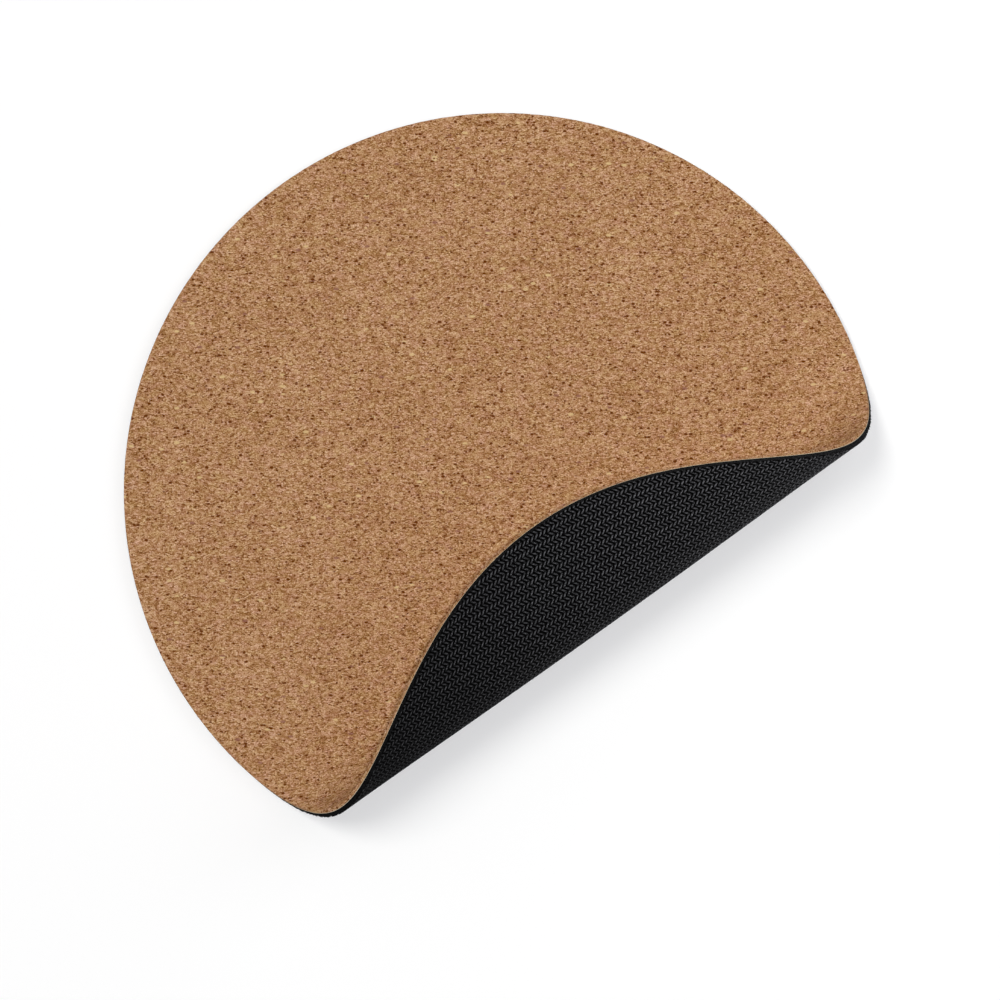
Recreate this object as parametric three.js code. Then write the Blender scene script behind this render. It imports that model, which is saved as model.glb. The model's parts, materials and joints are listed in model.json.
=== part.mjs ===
// Round cork mouse pad, bonded to a rubber base, with its front edge curled up and folded back.
// Millimetres, +Z up. The origin is the pad's centre, on the underside, and the curl is on the -Y side.
import * as THREE from 'three';

// Driving dimensions of the flat pad
const PAD_DIAMETER = 200;
const CORK_THICKNESS = 1.0;
const FILM_THICKNESS = 0.1;
const RUBBER_THICKNESS = 1.4;

// Driving dimensions of the curl, measured along the sheet's middle line
const CURL_START = 20.8; // from the pad's centre to where the sheet leaves the desk
const CURL_LENGTH = 70; // along the middle of the sheet, from there to where it runs straight
const CURL_LENGTH_SIDE = 47; // what that length falls to at the ends of the centre line
const CURL_ANGLE = THREE.MathUtils.degToRad(146); // the turn of the sheet's middle at its free end
const CURL_ANGLE_SIDE = THREE.MathUtils.degToRad(91); // what the turn falls to at the ends of the centre line
const SIDE_DRAW_SHARE = 0.08; // how far a rise of one pad radius draws the sides in, by their distance

// Facet counts
const COLUMNS = 13; // strips across the curl
const FLAT_RIM_STEPS = 68; // edges round the rim of the part that lies flat
const CURL_ROWS = 32; // even steps along the sheet, from the flat part to the tip
const TIP_ROWS = 9; // even steps round the rim, from there to the free end
const TIP_ANGLE = THREE.MathUtils.degToRad(30); // half the sector of the rim that the tip takes up
const BEND_STEPS = 64; // steps that add up the bend from the start of the curl to one point

const padRadius = PAD_DIAMETER / 2;
const padThickness = RUBBER_THICKNESS + FILM_THICKNESS + CORK_THICKNESS;

const CORK = new THREE.MeshStandardMaterial({ color: 0xaa7e5a, roughness: 0.9, metalness: 0 });
const FILM = new THREE.MeshStandardMaterial({ color: 0xd9cfae, roughness: 0.5, metalness: 0 });
const RUBBER = new THREE.MeshStandardMaterial({ color: 0x202022, roughness: 0.75, metalness: 0 });

const range = (count) => Array.from({ length: count }, (_, index) => index);

// The bend grows from nothing where the sheet leaves the desk, is tightest a third of the way along
// and dies out where the free end runs straight. This is the share of the turn that a share of the
// curl's length has made.
function turnShare(lengthShare) {
  const share = THREE.MathUtils.clamp(lengthShare, 0, 1);
  return share ** 2 * (6 - 8 * share + 3 * share ** 2);
}

// Where a point of the flat pad lies once the pad is curled. Across runs along X, along runs from the
// centre toward the curl, and height is measured up from the underside of the flat pad.
function curledPoint({ across, along }, height) {
  const side = (across / padRadius) ** 2;
  const length = THREE.MathUtils.lerp(CURL_LENGTH, CURL_LENGTH_SIDE, side);
  const turn = THREE.MathUtils.lerp(CURL_ANGLE, CURL_ANGLE_SIDE, side);
  const bent = Math.max(along - CURL_START, 0);
  const step = bent / BEND_STEPS;
  let forward = along - bent;
  let rise = 0;
  for (const index of range(BEND_STEPS)) {
    const slope = turn * turnShare((index + 0.5) * step / length);
    forward += step * Math.cos(slope);
    rise += step * Math.sin(slope);
  }
  const slope = turn * turnShare(bent / length);
  const fromMiddle = height - padThickness / 2;
  return new THREE.Vector3(
    across * (1 - SIDE_DRAW_SHARE * rise / padRadius),
    fromMiddle * Math.sin(slope) - forward,
    padThickness / 2 + rise + fromMiddle * Math.cos(slope),
  );
}

// Distances from the centre line at which the sheet is stepped, from the flat part to the free end
function curlStations() {
  const tipStart = padRadius * Math.cos(TIP_ANGLE);
  const tipStep = TIP_ANGLE / (TIP_ROWS + 0.5);
  const body = range(CURL_ROWS + 1).map((row) => THREE.MathUtils.lerp(CURL_START, tipStart, row / CURL_ROWS));
  const tip = range(TIP_ROWS).map((row) => padRadius * Math.cos(TIP_ANGLE - (row + 1) * tipStep));
  return [...body, ...tip];
}

// The flat pad's outline and facets, which every layer shares, so that bonded faces match exactly
function padPlan() {
  const points = [];
  const add = (across, along) => points.push({ across, along }) - 1;
  const rows = curlStations().map((along) => {
    const half = Math.sqrt(padRadius ** 2 - along ** 2);
    return range(COLUMNS + 1).map((column) => add(half * (2 * column / COLUMNS - 1), along));
  });
  const flatSweep = Math.acos(-CURL_START / padRadius);
  const flatRim = range(FLAT_RIM_STEPS - 1).map((index) => {
    const angle = flatSweep * (1 - 2 * (index + 1) / FLAT_RIM_STEPS);
    return add(padRadius * Math.sin(angle), -padRadius * Math.cos(angle));
  });

  const flatOutline = [...rows[0], ...flatRim];
  const flatShape = flatOutline.map((index) => new THREE.Vector2(points[index].across, -points[index].along));
  const facets = THREE.ShapeUtils.triangulateShape(flatShape, [])
    .map((corners) => corners.map((corner) => flatOutline[corner]));
  for (const row of range(rows.length - 1)) {
    for (const column of range(COLUMNS)) {
      const [farLeft, farRight] = [rows[row][column], rows[row][column + 1]];
      const [nearLeft, nearRight] = [rows[row + 1][column], rows[row + 1][column + 1]];
      facets.push([nearLeft, nearRight, farRight], [nearLeft, farRight, farLeft]);
    }
  }

  const leftEdge = rows.map((row) => row[0]);
  const rightEdge = rows.map((row) => row[COLUMNS]).reverse();
  const freeEnd = rows[rows.length - 1].slice(1, -1);
  const outline = [...flatRim, ...leftEdge, ...freeEnd, ...rightEdge];
  return { points, facets, outline };
}

// One bonded layer of the pad, between two heights of the flat pad
function padLayer(name, plan, underside, topside, material) {
  const { points, facets, outline } = plan;
  const corners = [underside, topside].flatMap((height) => points.map((point) => curledPoint(point, height)));
  const top = (index) => index + points.length;
  const faces = facets.flatMap(([a, b, c]) => [top(a), top(b), top(c), c, b, a]);
  outline.forEach((from, index) => {
    const to = outline[(index + 1) % outline.length];
    faces.push(from, to, top(to), from, top(to), top(from));
  });
  const geometry = new THREE.BufferGeometry().setFromPoints(corners);
  geometry.setIndex(faces);
  geometry.computeVertexNormals();
  const layer = new THREE.Mesh(geometry, material);
  layer.name = name;
  return layer;
}

const plan = padPlan();
const filmUnderside = RUBBER_THICKNESS;
const corkUnderside = RUBBER_THICKNESS + FILM_THICKNESS;

const mousePad = new THREE.Group();
mousePad.add(
  padLayer('rubber_base', plan, 0, filmUnderside, RUBBER),
  padLayer('adhesive_film', plan, filmUnderside, corkUnderside, FILM),
  padLayer('cork_sheet', plan, corkUnderside, padThickness, CORK),
);

export default mousePad;
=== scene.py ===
"""Looks of a round cork mouse pad: a cork sheet bonded to a ribbed rubber base, curled as one sheet."""

import json
import math

import bpy
import numpy as np
from mathutils import Matrix, Vector
from mathutils.geometry import delaunay_2d_cdt


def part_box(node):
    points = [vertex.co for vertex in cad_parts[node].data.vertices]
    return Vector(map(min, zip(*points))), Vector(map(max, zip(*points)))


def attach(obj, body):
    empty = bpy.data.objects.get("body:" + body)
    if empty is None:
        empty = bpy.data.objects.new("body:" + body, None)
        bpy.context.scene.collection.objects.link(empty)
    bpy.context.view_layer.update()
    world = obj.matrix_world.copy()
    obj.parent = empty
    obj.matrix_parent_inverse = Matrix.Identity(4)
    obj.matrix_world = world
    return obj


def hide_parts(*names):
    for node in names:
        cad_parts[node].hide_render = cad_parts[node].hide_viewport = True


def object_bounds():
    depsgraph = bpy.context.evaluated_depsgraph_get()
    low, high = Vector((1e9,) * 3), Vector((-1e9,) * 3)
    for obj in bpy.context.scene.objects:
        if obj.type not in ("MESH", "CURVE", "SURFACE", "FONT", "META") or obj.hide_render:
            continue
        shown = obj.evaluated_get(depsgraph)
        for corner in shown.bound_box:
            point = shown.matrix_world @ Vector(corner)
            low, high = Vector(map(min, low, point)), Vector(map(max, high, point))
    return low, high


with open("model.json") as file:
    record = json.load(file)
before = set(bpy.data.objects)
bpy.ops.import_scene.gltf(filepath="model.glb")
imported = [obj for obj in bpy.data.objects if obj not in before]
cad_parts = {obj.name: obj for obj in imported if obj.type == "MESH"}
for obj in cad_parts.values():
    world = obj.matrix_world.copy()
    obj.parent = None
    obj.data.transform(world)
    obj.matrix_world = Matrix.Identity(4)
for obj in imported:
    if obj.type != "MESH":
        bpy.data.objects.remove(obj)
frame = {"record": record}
cad_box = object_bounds()

MM = 0.001

# The flat pad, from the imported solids
mount_places = {mount["name"]: mount["pos_m"] for mount in frame["record"]["mounts"]}
pad_radius = cad_box[1].y
rubber_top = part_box("adhesive_film")[0].z
film_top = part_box("cork_sheet")[0].z
pad_top = mount_places["mouse_face"][2]

# The curl, with the same values as the solids: lengths run along the sheet's middle
CURL_START = 20.8 * MM
CURL_LENGTH = 70 * MM
CURL_LENGTH_SIDE = 47 * MM
CURL_ANGLE = math.radians(146)
CURL_ANGLE_SIDE = math.radians(91)
SIDE_DRAW_SHARE = 0.08
BEND_STEPS = 64

# How finely the sheets are meshed
RIM_POINTS = 720
SHEET_SPACING = 2 * MM
RIM_CLEARANCE = 0.7 * SHEET_SPACING  # from the rim to the nearest inner points
MERGE_DISTANCE = 1e-7
SMOOTH_BELOW = math.radians(65)

# The cut edge of a flat sheet is where a face looks up or down by less than this share
SIDEWAYS_BELOW = 0.3

# The texture map of a sheet: the shown face as a disc in the middle, the bonded face small in a corner
MAP_MIDDLE = 0.5
MAP_RADIUS = 0.47
SMALL_MAP_MIDDLE = 0.07
SMALL_MAP_RADIUS = 0.06
RIM_FROM = 0.99  # the share of the radius from which a sideways face is the cut edge
LEAST_REACH = 0.01  # keeps the middle of the disc from being divided by nothing

# The moulded herringbone under the rubber: zigzag ridges that run along the sheet, side by side
RIDGE_PITCH = 1.3 * MM
RIDGE_ROW = 1.46 * MM  # one straight stretch of a zigzag, along the sheet
RIDGE_SHIFT = 1.3 * MM  # how far a ridge moves sideways over one stretch
RIDGE_DEPTH = 0.35 * MM
RIDGE_PROFILE = (1, 1, 0, 0)  # heights at even steps over one pitch
RIDGE_TURN = math.radians(7)  # of the whole pattern on the sheet
SLAB_OVERHANG = 2 * RIDGE_PITCH

# The cork's worn edge, its nibbled outline and the voids in its face
EDGE_ROUND = 0.15 * MM
SHOULDER_SHARE = 0.3  # where the round is halfway, by its size
EDGE_NIBBLE = 0.06 * MM
GRAIN_TURN = math.radians(-35.5)
PIT_COUNT = 1300
PIT_GAP = 1.6 * MM
PIT_CLEARANCE = 0.5 * PIT_GAP
PIT_LENGTH = (0.25 * MM, 0.55 * MM)
PIT_WIDTH = (0.14 * MM, 0.28 * MM)
PIT_DEPTH = (0.10 * MM, 0.30 * MM)
PIT_STRAY = 0.35  # how far a void turns off the grain, in radians
PIT_UNEVEN = (0.8, 1.2)  # the range of a corner's distance from the middle, by its even one
PIT_FLOOR_SHARE = 0.55  # how wide the floor of a void is, by its brim
PIT_SIDES = 8
SEED = 20

# Cork: sizes along the grain, across it and through it, in millimetres
GRANULE_MM = (0.58, 0.34, 0.34)
FIBRE_MM = (0.40, 0.25, 0.25)
PATCH_MM = (24, 18, 18)
HUE_MM = (3.2, 2.4, 2.4)
FLAKE_MM = (2.0, 1.0, 1.0)
BARK_MM = (1.2, 0.8, 0.8)

# Cork: how much each size adds to the tone, the tones from dark to pale, and two tints
GRANULE_WEIGHT = 0.45
FIBRE_WEIGHT = 1.1
PATCH_WEIGHT = 0.1
TONE_RANGE = (0.455, 1.20)
CORK_TONES = (
    (0.00, (92, 47, 12)),
    (0.20, (133, 87, 46)),
    (0.36, (155, 109, 69)),
    (0.50, (172, 128, 89)),
    (0.64, (184, 142, 105)),
    (0.80, (197, 157, 121)),
    (1.00, (225, 188, 157)),
)
YELLOWER = (1, 1.05, 0.92, 1)
PINKER = (1, 0.95, 1.08, 1)

# Cork: the share of cells that are odd flakes, and how far a flake reaches in its cell
PALE_FLAKE = (216, 186, 134)
PALE_SHARE = 0.02
MAUVE_FLAKE = (134, 86, 74)
MAUVE_SHARE = 0.016
SHARE_STEP = 0.002
FLAKE_RIM = (0.30, 0.45)
FLAKE_COVER = 0.75

# Cork: bark specks, which are larger the further a cell's share lies above the least one, and voids
BARK_BROWN = (94, 43, 4)
BARK_FROM = 0.64
BARK_DRIFT = 0.12
BARK_REACH = 0.44
BARK_RIM = (-0.06, 0.08)
BARK_COVER = 0.95
# Voids are painted this brown from the brim to halfway down: partly the cork's own dark specks, partly
# painted shade in the hollow.
PIT_BROWN = (108, 52, 8)
PIT_DARK_FROM = 0.5
PIT_COVER = 0.85
CORK_ROUGHNESS = (0.72, 0.92)
CORK_BUMP = 0.06 * MM
CORK_SHINE = 0.05

# Rubber: how far up a ridge it is greyed, partly by wear and partly as a painted highlight, how far
# across the pad painted light brightens it, and what its cut edge counts as
RUBBER_BLACK = (2, 2, 2)
RUBBER_GREY = (147, 147, 151)
# Greying of the rib tops: partly wear, partly a painted highlight where the light catches them.
WEAR_AND_HIGHLIGHT_FROM = 0.35  # share of a ridge's height
# Painted light: ribs of one lean are greyer, as if lit from their side.
PAINTED_LEAN_LIGHT = 0.15  # makes ribs of one lean greyer than those of the other
GRIT_MM = (0.25, 0.25, 0.25)
GRIT_RANGE = (0.38, 0.67)
# Painted light: the rubber greys toward +X across the pad, as if lit more from that side.
PAINTED_LIGHT_ACROSS_MM = (-70, 70)
PAINTED_LIGHT_SHARES = (0.34, 1.0)
EDGE_RIDGE = 0.42
EDGE_ROW = 0.5  # the middle of a rib
SKIN_MM = (0.2, 0.2, 0.2)
RUBBER_ROUGHNESS = (0.6, 0.8)
RUBBER_BUMP = 0.03 * MM
RUBBER_SHINE = 0.01

# Adhesive
ADHESIVE_DARK = (196, 184, 154)
ADHESIVE_PALE = (222, 212, 188)
ADHESIVE_ROUGHNESS = (0.4, 0.6)
CLOUD_MM = (1.5, 1.5, 1.5)

# Shader nodes: where nearly all of a noise lies, the bumps' strength, and the colour sockets of a mix
NOISE_RANGE = (0.3, 0.7)
BUMP_STRENGTH = 0.35
MIX_FIRST = 6
MIX_SECOND = 7
MIX_RESULT = 2

# Camera, all but straight above the pad
CAMERA_HEIGHT = 3.0
VIEW_LEAN = math.radians(1.4)
VIEW_CENTRE = (-1.91 * MM, -1.34 * MM)
VIEW_TURN = math.radians(-35.5)
VIEW_WIDTH = 263.85 * MM
SENSOR_WIDTH = 36.0

# Light: how bright a white level surface looks under each
OVERHEAD_LEVEL = 0.54
KEY_LEVEL = 0.25
SIDE_LEVEL = 0.085
AMBIENT_LEVEL = 0.16
OVERHEAD_COLOUR = (1, 1, 1.02)
OVERHEAD_ELEVATION = math.radians(90)
OVERHEAD_SPREAD = math.radians(2)
KEY_COLOUR = (1, 1, 0.96)
KEY_ELEVATION = math.radians(63.6)
KEY_BEARING = math.radians(22)
KEY_SPREAD = math.radians(24)
SIDE_PLACE = Vector((0.45, 0, 0.35))
SIDE_SIZE = 0.3

# Floor, a hair below the pad, as the camera sees it and as light bounces off it
FLOOR_SIZE = 12
FLOOR_DROP = 0.05 * MM
WHITE = (1, 1, 1, 1)
FLOOR_BOUNCING = (0.8, 0.8, 0.8, 1)

random = np.random.default_rng(SEED)


def turn_share(length_share):
    """The share of the curl's turn that a share of its length has made."""
    share = np.clip(length_share, 0, 1)
    return share**2 * (6 - 8 * share + 3 * share**2)


def curled(flat):
    """Where points of the flat pad lie once it is curled.

    A flat point is x, y and height off the underside.
    """
    across, along, height = flat[:, 0], -flat[:, 1], flat[:, 2]
    side = (across / pad_radius) ** 2
    length = CURL_LENGTH + (CURL_LENGTH_SIDE - CURL_LENGTH) * side
    turn = CURL_ANGLE + (CURL_ANGLE_SIDE - CURL_ANGLE) * side
    bent = np.maximum(along - CURL_START, 0)
    steps = (np.arange(BEND_STEPS) + 0.5) / BEND_STEPS
    slopes = turn[:, None] * turn_share((bent / length)[:, None] * steps)
    forward = along - bent + bent * np.cos(slopes).mean(1)
    rise = bent * np.sin(slopes).mean(1)
    slope = turn * turn_share(bent / length)
    off_middle = height - pad_top / 2
    x = across * (1 - SIDE_DRAW_SHARE * rise / pad_radius)
    y = off_middle * np.sin(slope) - forward
    z = pad_top / 2 + rise + off_middle * np.cos(slope)
    return np.stack([x, y, z], 1)


def turned(points, angle):
    """Points of a plane, turned anticlockwise about the origin."""
    x, y = points.T
    cos, sin = math.cos(angle), math.sin(angle)
    return np.stack([cos * x - sin * y, sin * x + cos * y], 1)


def at_height(points, height):
    """Points of a plane as points in space, all at one height or at a height each."""
    return np.column_stack([points, np.broadcast_to(height, len(points))])


def rim_loop(radius):
    """Points round the pad, at one radius or at a radius each."""
    angles = np.arange(RIM_POINTS) * (2 * math.pi / RIM_POINTS)
    return np.stack([radius * np.cos(angles), radius * np.sin(angles)], 1)


def staggered_grid(radius, spacing):
    """Points on a triangular grid inside a radius."""
    row_gap = spacing * math.sqrt(3) / 2
    rows = int(radius / row_gap)
    columns = int(radius / spacing) + 1
    row, column = np.mgrid[-rows:rows + 1, -columns:columns + 1]
    points = np.stack([(column + 0.5 * (row % 2)) * spacing, row * row_gap], -1).reshape(-1, 2)
    return points[np.hypot(*points.T) < radius]


def fill_loop(loop, inner):
    """The points of a loop and those inside it, and the triangles that join them."""
    points = np.vstack([loop, inner])
    found = delaunay_2d_cdt(
        [Vector(point) for point in points], [], [list(range(len(loop)))], 1, MERGE_DISTANCE
    )
    if len(found[0]) != len(points):
        raise ValueError("two points of a sheet fell together")
    return points, [tuple(face) for face in found[2]]


def new_mesh(name, flat, faces):
    """A mesh with its points still in the flat pad."""
    mesh = bpy.data.meshes.new(name)
    mesh.from_pydata(flat.tolist(), [], faces)
    mesh.validate()
    return mesh


def flat_points(mesh):
    """The points of a mesh that is not curled yet."""
    places = np.empty(len(mesh.vertices) * 3, np.float32)
    mesh.vertices.foreach_get("co", places)
    return places.reshape(-1, 3).astype(float)


def add_value(mesh, name, values, domain="POINT"):
    """A named number for each point or each face corner, which a material can read."""
    mesh.attributes.new(name, "FLOAT", domain).data.foreach_set("value", values.astype(np.float32))


def add_coordinates(mesh, name, points):
    """Texture coordinates in millimetres of the flat sheet, which stay with it where it curls."""
    layer = mesh.attributes.new(name, "FLOAT_VECTOR", "POINT")
    layer.data.foreach_set("vector", (points / MM).astype(np.float32).ravel())


def face_corners(mesh):
    """For each corner of each face, the point that it lies on and how far up the face looks."""
    corners = np.empty(len(mesh.loops), np.int32)
    mesh.loops.foreach_get("vertex_index", corners)
    sizes = np.empty(len(mesh.polygons), np.int32)
    mesh.polygons.foreach_get("loop_total", sizes)
    normals = np.empty(len(mesh.polygons) * 3, np.float32)
    mesh.polygons.foreach_get("normal", normals)
    return corners, np.repeat(normals.reshape(-1, 3)[:, 2], sizes)


def add_bake_map(mesh, shown_height, facing):
    """A texture map named OFBake, with the cut edge as a ring round the shown face.

    Facing is 1 where the shown face is the topside and -1 where it is the underside.
    """
    corners, up = face_corners(mesh)
    up = facing * up[:, None]
    places = flat_points(mesh)[corners]
    plane = places[:, :2] / pad_radius
    reach = np.hypot(*plane.T)[:, None]
    depth = facing * (shown_height - places[:, 2:]) / pad_radius
    on_edge = (np.abs(up) < SIDEWAYS_BELOW) & (reach > RIM_FROM)
    around = plane / np.maximum(reach, LEAST_REACH) * (1 + depth)
    shown = MAP_MIDDLE + MAP_RADIUS * np.where(on_edge, around, plane)
    bonded = SMALL_MAP_MIDDLE + SMALL_MAP_RADIUS * plane
    layer = mesh.uv_layers.new(name="OFBake")
    spots = np.where(up < -SIDEWAYS_BELOW, bonded, shown)
    layer.data.foreach_set("uv", spots.astype(np.float32).ravel())


def finish_piece(mesh, material, solid):
    """Curls a flat mesh, smooths it and makes it the piece that stands for a solid."""
    places = curled(flat_points(mesh))
    mesh.vertices.foreach_set("co", places.astype(np.float32).ravel())
    mesh.update()
    mesh.shade_smooth()
    mesh.set_sharp_from_angle(angle=SMOOTH_BELOW)
    mesh.materials.clear()
    mesh.materials.append(material)
    piece = bpy.data.objects.new(mesh.name, mesh)
    bpy.context.scene.collection.objects.link(piece)
    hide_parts(solid)
    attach(piece, "root")
    return piece


def layered_mesh(name, under, rings, over):
    """A closed sheet: an underside, rings of rim points from it round the edge, and a topside."""
    (under_points, under_faces), (over_points, over_faces) = under, over
    stack = [under_points, *rings, over_points]
    starts = np.cumsum([0] + [len(part) for part in stack])
    faces = [tuple(reversed(face)) for face in under_faces]
    faces += [tuple(corner + int(starts[-2]) for corner in face) for face in over_faces]
    for low, high in zip(starts[:-2], starts[1:-1]):
        for index in range(RIM_POINTS):
            after = (index + 1) % RIM_POINTS
            faces.append((int(low) + index, int(low) + after, int(high) + after, int(high) + index))
    return new_mesh(name, np.vstack(stack), faces)


def node(tree, kind, inputs=None, **settings):
    """Adds a shader node. An input is a value, or the output that it is linked to."""
    made = tree.nodes.new("ShaderNode" + kind)
    for name, value in settings.items():
        setattr(made, name, value)
    for name, value in (inputs or {}).items():
        if isinstance(value, bpy.types.NodeSocket):
            tree.links.new(value, made.inputs[name])
        else:
            made.inputs[name].default_value = value
    return made


def new_material(name):
    """An empty material and its nodes."""
    material = bpy.data.materials.new(name)
    material.use_nodes = True
    material.node_tree.nodes.clear()
    return material, material.node_tree


def linear(colour):
    """A colour given as it shows on a screen, from 0 to 255, as the light that it stands for."""
    shares = np.array(colour) / 255
    light = np.where(shares <= 0.04045, shares / 12.92, ((shares + 0.055) / 1.055) ** 2.4)
    return (*light.tolist(), 1.0)


def colour_ramp(tree, factor, stops):
    """A ramp through screen colours at given places."""
    ramp = node(tree, "ValToRGB", {"Fac": factor})
    elements = ramp.color_ramp.elements
    while len(elements) < len(stops):
        elements.new(0.5)
    for element, (place, colour) in zip(elements, stops):
        element.position = place
        element.color = linear(colour)
    return ramp.outputs["Color"]


def attribute(tree, name, output="Fac"):
    """What a mesh carries under a name: a number, or a vector."""
    return node(tree, "Attribute", attribute_name=name).outputs[output]


def scaled(tree, coordinates, sizes):
    """Texture coordinates on which one unit is this many millimetres each way."""
    shares = [1 / size for size in sizes]
    return node(tree, "VectorMath", {0: coordinates, 1: shares}, operation="MULTIPLY").outputs["Vector"]


def noise(tree, coordinates, sizes, detail, roughness=0.5):
    """A soft noise of about this size in millimetres."""
    return node(tree, "TexNoise", {
        "Vector": scaled(tree, coordinates, sizes), "Scale": 1, "Detail": detail, "Roughness": roughness,
    }).outputs["Fac"]


def cells(tree, coordinates, sizes, channel):
    """Scattered cells of about this size: a random share for each, and the distance from its middle."""
    texture = node(tree, "TexVoronoi", {"Vector": scaled(tree, coordinates, sizes), "Scale": 1})
    shares = node(tree, "SeparateColor", {"Color": texture.outputs["Color"]})
    return shares.outputs[channel], texture.outputs["Distance"]


def remap(tree, value, low, high, new_low=0.0, new_high=1.0):
    """A value stretched from one range to another and kept inside it."""
    return node(tree, "MapRange", {
        "Value": value, "From Min": low, "From Max": high, "To Min": new_low, "To Max": new_high,
    }).outputs["Result"]


def maths(tree, operation, first, second=0.0):
    """One step of arithmetic, on one value or two."""
    return node(tree, "Math", {0: first, 1: second}, operation=operation).outputs["Value"]


def product(tree, first, *others):
    """Values multiplied together."""
    for other in others:
        first = maths(tree, "MULTIPLY", first, other)
    return first


def mixed(tree, factor, first, second):
    """A colour between two others."""
    mix = node(tree, "Mix", {"Factor": factor, MIX_FIRST: first, MIX_SECOND: second}, data_type="RGBA")
    return mix.outputs[MIX_RESULT]


def tinted(tree, colour, tint):
    """A colour multiplied by another."""
    inputs = {"Factor": 1, MIX_FIRST: colour, MIX_SECOND: tint}
    mix = node(tree, "Mix", inputs, data_type="RGBA", blend_type="MULTIPLY")
    return mix.outputs[MIX_RESULT]


def bumped(tree, height, distance):
    """The surface's normal, tilted by a height."""
    inputs = {"Strength": BUMP_STRENGTH, "Distance": distance, "Height": height}
    return node(tree, "Bump", inputs).outputs["Normal"]


def add_surface(tree, inputs):
    """The shader of a surface, linked to the material's output."""
    shader = node(tree, "BsdfPrincipled", inputs)
    node(tree, "OutputMaterial", {"Surface": shader.outputs["BSDF"]})


def add_flakes(tree, grain, base):
    """A few larger flakes on the cork, some pale and some mauve."""
    share, distance = cells(tree, grain, FLAKE_MM, "Red")
    flake = remap(tree, distance, *FLAKE_RIM, FLAKE_COVER, 0.0)
    pale = remap(tree, share, 1 - PALE_SHARE - SHARE_STEP, 1 - PALE_SHARE + SHARE_STEP)
    mauve = remap(tree, share, MAUVE_SHARE + SHARE_STEP, MAUVE_SHARE - SHARE_STEP)
    base = mixed(tree, product(tree, flake, pale), base, linear(PALE_FLAKE))
    return mixed(tree, product(tree, flake, mauve), base, linear(MAUVE_FLAKE))


def add_bark(tree, grain, hue, base):
    """Dark bark specks on the cork, more of them where it is pinker."""
    share, distance = cells(tree, grain, BARK_MM, "Green")
    share = maths(tree, "ADD", share, remap(tree, hue, *NOISE_RANGE, -BARK_DRIFT, BARK_DRIFT))
    size = remap(tree, share, BARK_FROM, 1.0, 0.0, BARK_REACH)
    specks = remap(tree, maths(tree, "SUBTRACT", size, distance), *BARK_RIM)
    return mixed(tree, product(tree, specks, BARK_COVER), base, linear(BARK_BROWN))


def cork_material():
    """Pressed cork: small granules of many tans, yellower and pinker, with bark specks and voids."""
    material, tree = new_material("pressed_cork")
    grain = attribute(tree, "grain_mm", "Vector")
    granules, _ = cells(tree, grain, GRANULE_MM, "Red")
    fibres = noise(tree, grain, FIBRE_MM, detail=1)
    patches = noise(tree, grain, PATCH_MM, detail=2)
    tone = product(tree, granules, GRANULE_WEIGHT)
    tone = maths(tree, "ADD", tone, product(tree, fibres, FIBRE_WEIGHT))
    tone = maths(tree, "ADD", tone, product(tree, patches, PATCH_WEIGHT))
    base = colour_ramp(tree, remap(tree, tone, *TONE_RANGE), CORK_TONES)

    hue = noise(tree, grain, HUE_MM, detail=3, roughness=0.6)
    base = tinted(tree, base, mixed(tree, remap(tree, hue, *NOISE_RANGE), YELLOWER, PINKER))
    base = add_flakes(tree, grain, base)
    base = add_bark(tree, grain, hue, base)
    # Painted shade, with the cork's own dark specks: each void browns from its brim to halfway down and
    # stays brown to its floor.
    in_pit = remap(tree, attribute(tree, "pit"), 0.0, PIT_DARK_FROM, 0.0, PIT_COVER)
    base = mixed(tree, in_pit, base, linear(PIT_BROWN))

    add_surface(tree, {
        "Base Color": base,
        "Roughness": remap(tree, fibres, *NOISE_RANGE, *CORK_ROUGHNESS),
        "Specular IOR Level": CORK_SHINE,
        "Normal": bumped(tree, maths(tree, "ADD", granules, fibres), CORK_BUMP),
    })
    return material


def rubber_material():
    """Black moulded rubber, grey along the top of each short rib, partly worn and partly a painted
    highlight, and black between the ribs.

    Painted light makes it greyer toward one side of the pad, and greyer on ribs of one lean than on
    those of the other.
    """
    material, tree = new_material("black_rubber")
    flat = attribute(tree, "flat_mm", "Vector")
    across = node(tree, "SeparateXYZ", {"Vector": flat}).outputs["X"]
    wave = maths(tree, "SINE", product(tree, attribute(tree, "row"), math.pi))
    # How grey the rubber is: wear and a painted highlight on the rib tops, painted light on ribs of one
    # lean and toward +X, and grit.
    wear_and_painted_light = product(
        tree,
        remap(tree, attribute(tree, "ridge"), WEAR_AND_HIGHLIGHT_FROM, 1.0),
        maths(tree, "ABSOLUTE", maths(tree, "SUBTRACT", wave, PAINTED_LEAN_LIGHT)),
        remap(tree, noise(tree, flat, GRIT_MM, detail=1), *GRIT_RANGE),
        remap(tree, across, *PAINTED_LIGHT_ACROSS_MM, *PAINTED_LIGHT_SHARES),
    )
    skin = noise(tree, flat, SKIN_MM, detail=2)
    add_surface(tree, {
        "Base Color": mixed(tree, wear_and_painted_light, linear(RUBBER_BLACK), linear(RUBBER_GREY)),
        "Roughness": remap(tree, skin, *NOISE_RANGE, *RUBBER_ROUGHNESS),
        "Specular IOR Level": RUBBER_SHINE,
        "Normal": bumped(tree, skin, RUBBER_BUMP),
    })
    return material


def adhesive_material():
    """A dull straw-coloured bond line."""
    material, tree = new_material("adhesive")
    cloud = noise(tree, attribute(tree, "flat_mm", "Vector"), CLOUD_MM, detail=3)
    add_surface(tree, {
        "Base Color": mixed(tree, cloud, linear(ADHESIVE_DARK), linear(ADHESIVE_PALE)),
        "Roughness": remap(tree, cloud, *NOISE_RANGE, *ADHESIVE_ROUGHNESS),
    })
    return material


def core_plan():
    """The plan that the bonded faces share."""
    return fill_loop(rim_loop(pad_radius), staggered_grid(pad_radius - RIM_CLEARANCE, SHEET_SPACING))


def plan_at(plan, height):
    """The shared plan at one height."""
    points, faces = plan
    return at_height(points, height), faces


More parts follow.
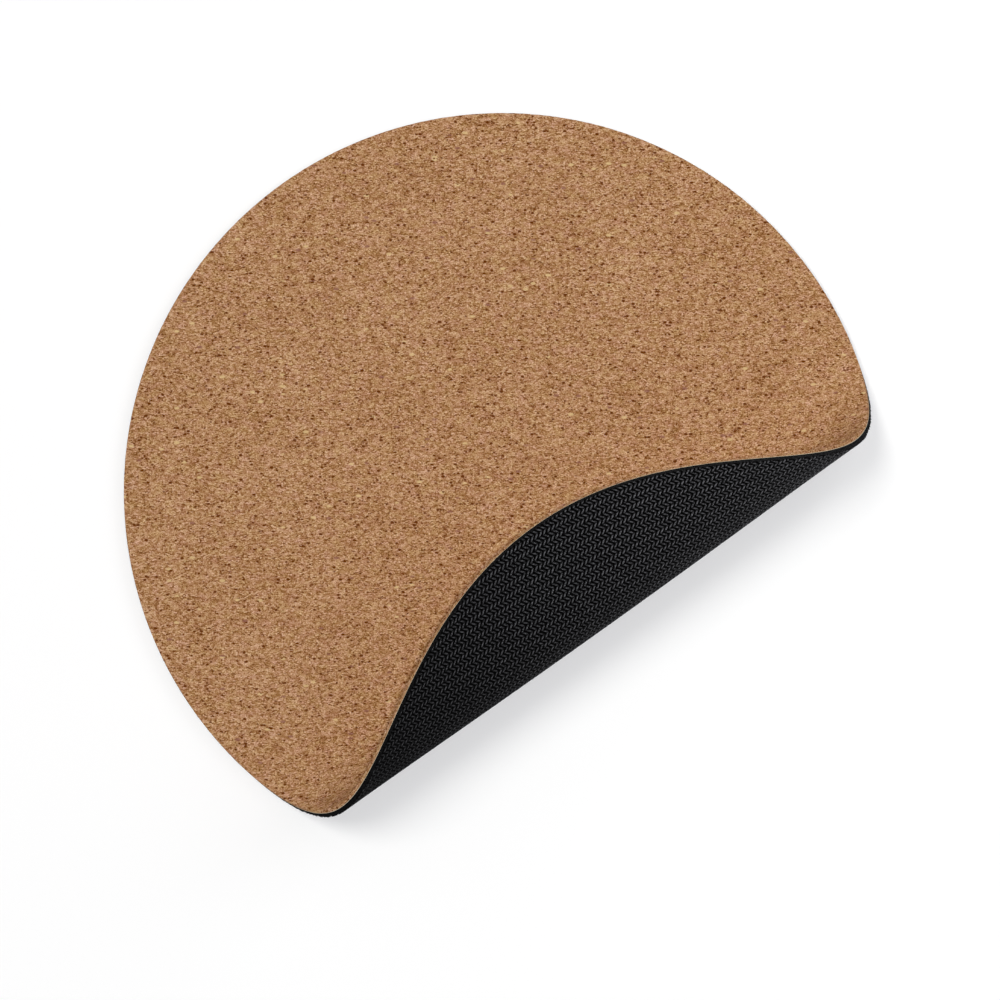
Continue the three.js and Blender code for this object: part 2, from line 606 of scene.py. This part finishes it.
def relief_slab():
    """A slab wider and taller than the rubber, with the herringbone all over its underside."""
    reach = pad_radius + SLAB_OVERHANG
    step = RIDGE_PITCH / len(RIDGE_PROFILE)
    half_columns = math.ceil((reach + RIDGE_SHIFT) / step)
    half_rows = math.ceil(reach / RIDGE_ROW)
    row, column = np.mgrid[-half_rows:half_rows + 1, -half_columns:half_columns + 1]
    x = column * step + (row % 2 - 0.5) * RIDGE_SHIFT
    y = row * RIDGE_ROW
    relief = np.array(RIDGE_PROFILE)[column % len(RIDGE_PROFILE)]
    plane = turned(np.stack([x.ravel(), y.ravel()], 1), RIDGE_TURN)
    under = at_height(plane, RIDGE_DEPTH * (1 - relief.ravel()))

    index = np.arange(row.size).reshape(row.shape)
    corners = [index[:-1, :-1], index[1:, :-1], index[1:, 1:], index[:-1, 1:]]
    faces = np.stack(corners, -1).reshape(-1, 4).tolist()
    edge = np.concatenate([index[0, :-1], index[:-1, -1], index[-1, :0:-1], index[:0:-1, 0]])
    lid = under[edge]
    lid[:, 2] = 2 * pad_top
    lid_index = np.arange(len(edge)) + row.size
    faces += np.stack([edge, np.roll(edge, -1), np.roll(lid_index, -1), lid_index], 1).tolist()
    faces.append(lid_index.tolist())
    return new_mesh("relief_slab", np.vstack([under, lid]), faces)


def cut_to(mesh, cutter_mesh, name):
    """What two closed meshes share, as a new mesh."""
    objects = [bpy.data.objects.new(part.name, part) for part in (mesh, cutter_mesh)]
    for part in objects:
        bpy.context.scene.collection.objects.link(part)
    cut = objects[0].modifiers.new("cut", "BOOLEAN")
    cut.operation = "INTERSECT"
    cut.solver = "MANIFOLD"
    cut.object = objects[1]
    evaluated = objects[0].evaluated_get(bpy.context.evaluated_depsgraph_get())
    shared = bpy.data.meshes.new_from_object(evaluated)
    for part in objects:
        bpy.data.meshes.remove(part.data)
    shared.name = name
    return shared


def rubber_backing(plan):
    """The rubber base, die-cut from ribbed sheet, so that the ridges run out to its rim."""
    disc = layered_mesh("disc", plan_at(plan, -RIDGE_DEPTH), [], plan_at(plan, rubber_top))
    mesh = cut_to(relief_slab(), disc, "rubber_backing")
    flat = flat_points(mesh)
    add_coordinates(mesh, "flat_mm", flat)
    corners, up = face_corners(mesh)
    cut_edge = np.abs(up) < SIDEWAYS_BELOW
    ridge = np.clip(1 - flat[:, 2] / RIDGE_DEPTH, 0, 1)
    row = turned(flat[:, :2], -RIDGE_TURN)[:, 1] / RIDGE_ROW
    add_value(mesh, "ridge", np.where(cut_edge, EDGE_RIDGE, ridge[corners]), "CORNER")
    add_value(mesh, "row", np.where(cut_edge, EDGE_ROW, row[corners]), "CORNER")
    add_bake_map(mesh, 0, -1)
    return finish_piece(mesh, rubber_material(), "rubber_base")


def adhesive_layer(plan):
    """The bond between the sheets, which shows as a hairline in the cut edge."""
    mesh = layered_mesh("adhesive_layer", plan_at(plan, rubber_top), [], plan_at(plan, film_top))
    add_coordinates(mesh, "flat_mm", flat_points(mesh))
    add_bake_map(mesh, film_top, 1)
    return finish_piece(mesh, adhesive_material(), "adhesive_film")


def pit_places():
    """Where the cork's voids lie: scattered over the face, and never two together."""
    reach = pad_radius - PIT_GAP
    chosen = np.empty((0, 2))
    while len(chosen) < PIT_COUNT:
        place = random.uniform(-reach, reach, 2)
        apart = np.hypot(*(chosen - place).T)
        if np.hypot(*place) < reach and (apart > PIT_GAP).all():
            chosen = np.vstack([chosen, place])
    return chosen


def pit_rings():
    """The brim and the floor of each void: places, depths, and 0 for a brim or 1 for a floor."""
    places, depths, shades = [], [], []
    steps = np.arange(PIT_SIDES) * (2 * math.pi / PIT_SIDES)
    for centre in pit_places():
        length = random.uniform(*PIT_LENGTH)
        width = random.uniform(*PIT_WIDTH)
        depth = random.uniform(*PIT_DEPTH)
        turn = GRAIN_TURN + random.normal(0, PIT_STRAY)
        outline = np.stack([length * np.cos(steps), width * np.sin(steps)], 1)
        outline *= random.uniform(*PIT_UNEVEN, (PIT_SIDES, 1))
        outline = turned(outline, turn)
        for share, down in ((1, 0), (PIT_FLOOR_SHARE, 1)):
            places.append(centre + share * outline)
            depths.append(np.full(PIT_SIDES, down * depth))
            shades.append(np.full(PIT_SIDES, down))
    return np.vstack(places), np.concatenate(depths), np.concatenate(shades)


def cork_face(plan):
    """The cork sheet: a nibbled cut edge, worn round at the top, and small voids in the face."""
    rim_radius = pad_radius - np.abs(random.normal(0, EDGE_NIBBLE, RIM_POINTS))
    places, depths, shades = pit_rings()
    grid = staggered_grid(pad_radius - SHEET_SPACING, SHEET_SPACING)
    centres = places.reshape(-1, 2 * PIT_SIDES, 2).mean(1)
    clear = [np.hypot(*(centres - point).T).min() > PIT_CLEARANCE for point in grid]
    face_rim = rim_loop(rim_radius - EDGE_ROUND)
    face_points, face_triangles = fill_loop(face_rim, np.vstack([places, grid[clear]]))
    in_pits = slice(RIM_POINTS, RIM_POINTS + len(places))
    sunk = np.zeros(len(face_points))
    sunk[in_pits] = depths
    shade = np.zeros(len(face_points))
    shade[in_pits] = shades

    shoulder_drop = SHOULDER_SHARE * EDGE_ROUND
    wall = at_height(rim_loop(rim_radius), pad_top - EDGE_ROUND)
    shoulder = at_height(rim_loop(rim_radius - shoulder_drop), pad_top - shoulder_drop)
    over = (at_height(face_points, pad_top - sunk), face_triangles)
    mesh = layered_mesh("cork_face", plan_at(plan, film_top), [wall, shoulder], over)
    flat = flat_points(mesh)
    grain = np.column_stack([turned(flat[:, :2], -GRAIN_TURN), flat[:, 2]])
    add_coordinates(mesh, "grain_mm", grain)
    add_value(mesh, "pit", np.concatenate([np.zeros(len(flat) - len(shade)), shade]))
    add_bake_map(mesh, pad_top, 1)
    return finish_piece(mesh, cork_material(), "cork_sheet")


def white_surface(name):
    """Plain white to the camera, and a little darker to the light that bounces off it."""
    material, tree = new_material(name)
    seen = node(tree, "BsdfDiffuse", {"Color": WHITE})
    bouncing = node(tree, "BsdfDiffuse", {"Color": FLOOR_BOUNCING})
    path = node(tree, "LightPath")
    mix = node(tree, "MixShader", {
        "Fac": path.outputs["Is Camera Ray"], 1: bouncing.outputs["BSDF"], 2: seen.outputs["BSDF"],
    })
    node(tree, "OutputMaterial", {"Surface": mix.outputs["Shader"]})
    return material


def add_floor():
    """A wide white floor that takes the pad's shadow."""
    bpy.ops.mesh.primitive_plane_add(size=FLOOR_SIZE, location=(0, 0, -FLOOR_DROP))
    floor = bpy.context.object
    floor.name = "floor"
    floor.data.materials.append(white_surface("white_floor"))


def add_sun(name, level, elevation, bearing, spread, colour):
    """A far lamp, at the strength that makes a level white surface look this bright.

    Its bearing is from +Y.
    """
    lamp = bpy.data.lights.new(name, "SUN")
    lamp.energy = level * math.pi / math.sin(elevation)
    lamp.angle = spread
    lamp.color = colour
    sun = bpy.data.objects.new(name, lamp)
    sun.rotation_euler = (elevation - math.pi / 2, 0, bearing)
    bpy.context.scene.collection.objects.link(sun)


def add_side_lamp():
    """A soft lamp near one end of the curl, at the strength that adds its level at the pad's centre."""
    lamp = bpy.data.lights.new("side", "AREA")
    lamp.size = SIDE_SIZE
    lamp.energy = SIDE_LEVEL * math.pi**2 * SIDE_PLACE.length**3 / SIDE_PLACE.z
    side = bpy.data.objects.new("side", lamp)
    side.location = SIDE_PLACE
    side.rotation_euler = SIDE_PLACE.to_track_quat("Z", "Y").to_euler()
    side.visible_camera = False
    bpy.context.scene.collection.objects.link(side)


def add_ambient():
    """Even light from all round. To the camera, and mirrored or through glass, it is plain white."""
    world = bpy.data.worlds.new("studio")
    bpy.context.scene.world = world
    world.use_nodes = True
    tree = world.node_tree
    tree.nodes.clear()
    path = node(tree, "LightPath").outputs
    mirrored = maths(tree, "MAXIMUM", path["Is Glossy Ray"], path["Is Transmission Ray"])
    seen = maths(tree, "MAXIMUM", path["Is Camera Ray"], mirrored)
    strength = remap(tree, seen, 0, 1, AMBIENT_LEVEL, 1)
    background = node(tree, "Background", {"Color": WHITE, "Strength": strength})
    node(tree, "OutputWorld", {"Surface": background.outputs["Background"]})


def add_light():
    """Two far lamps, a near one at the side, and even light."""
    add_sun("overhead", OVERHEAD_LEVEL, OVERHEAD_ELEVATION, 0, OVERHEAD_SPREAD, OVERHEAD_COLOUR)
    add_sun("key", KEY_LEVEL, KEY_ELEVATION, KEY_BEARING, KEY_SPREAD, KEY_COLOUR)
    add_side_lamp()
    add_ambient()


def add_camera():
    """A far camera that sees the view's width at the height of the cork face."""
    data = bpy.data.cameras.new("camera")
    data.sensor_width = SENSOR_WIDTH
    data.lens = SENSOR_WIDTH * (CAMERA_HEIGHT - pad_top) / VIEW_WIDTH
    camera = bpy.data.objects.new("camera", data)
    aim = Matrix.Translation((*VIEW_CENTRE, pad_top)) @ Matrix.Rotation(-VIEW_LEAN, 4, "Y")
    stand = Matrix.Translation((0, 0, CAMERA_HEIGHT - pad_top)) @ Matrix.Rotation(VIEW_TURN, 4, "Z")
    camera.matrix_world = aim @ stand
    bpy.context.scene.collection.objects.link(camera)
    bpy.context.scene.camera = camera


def main():
    """Makes the pieces, the stage and the camera."""
    bpy.context.scene.view_settings.view_transform = "Standard"
    plan = core_plan()
    rubber = rubber_backing(plan)
    adhesive = adhesive_layer(plan)
    cork = cork_face(plan)
    add_floor()
    add_light()
    add_camera()


main()
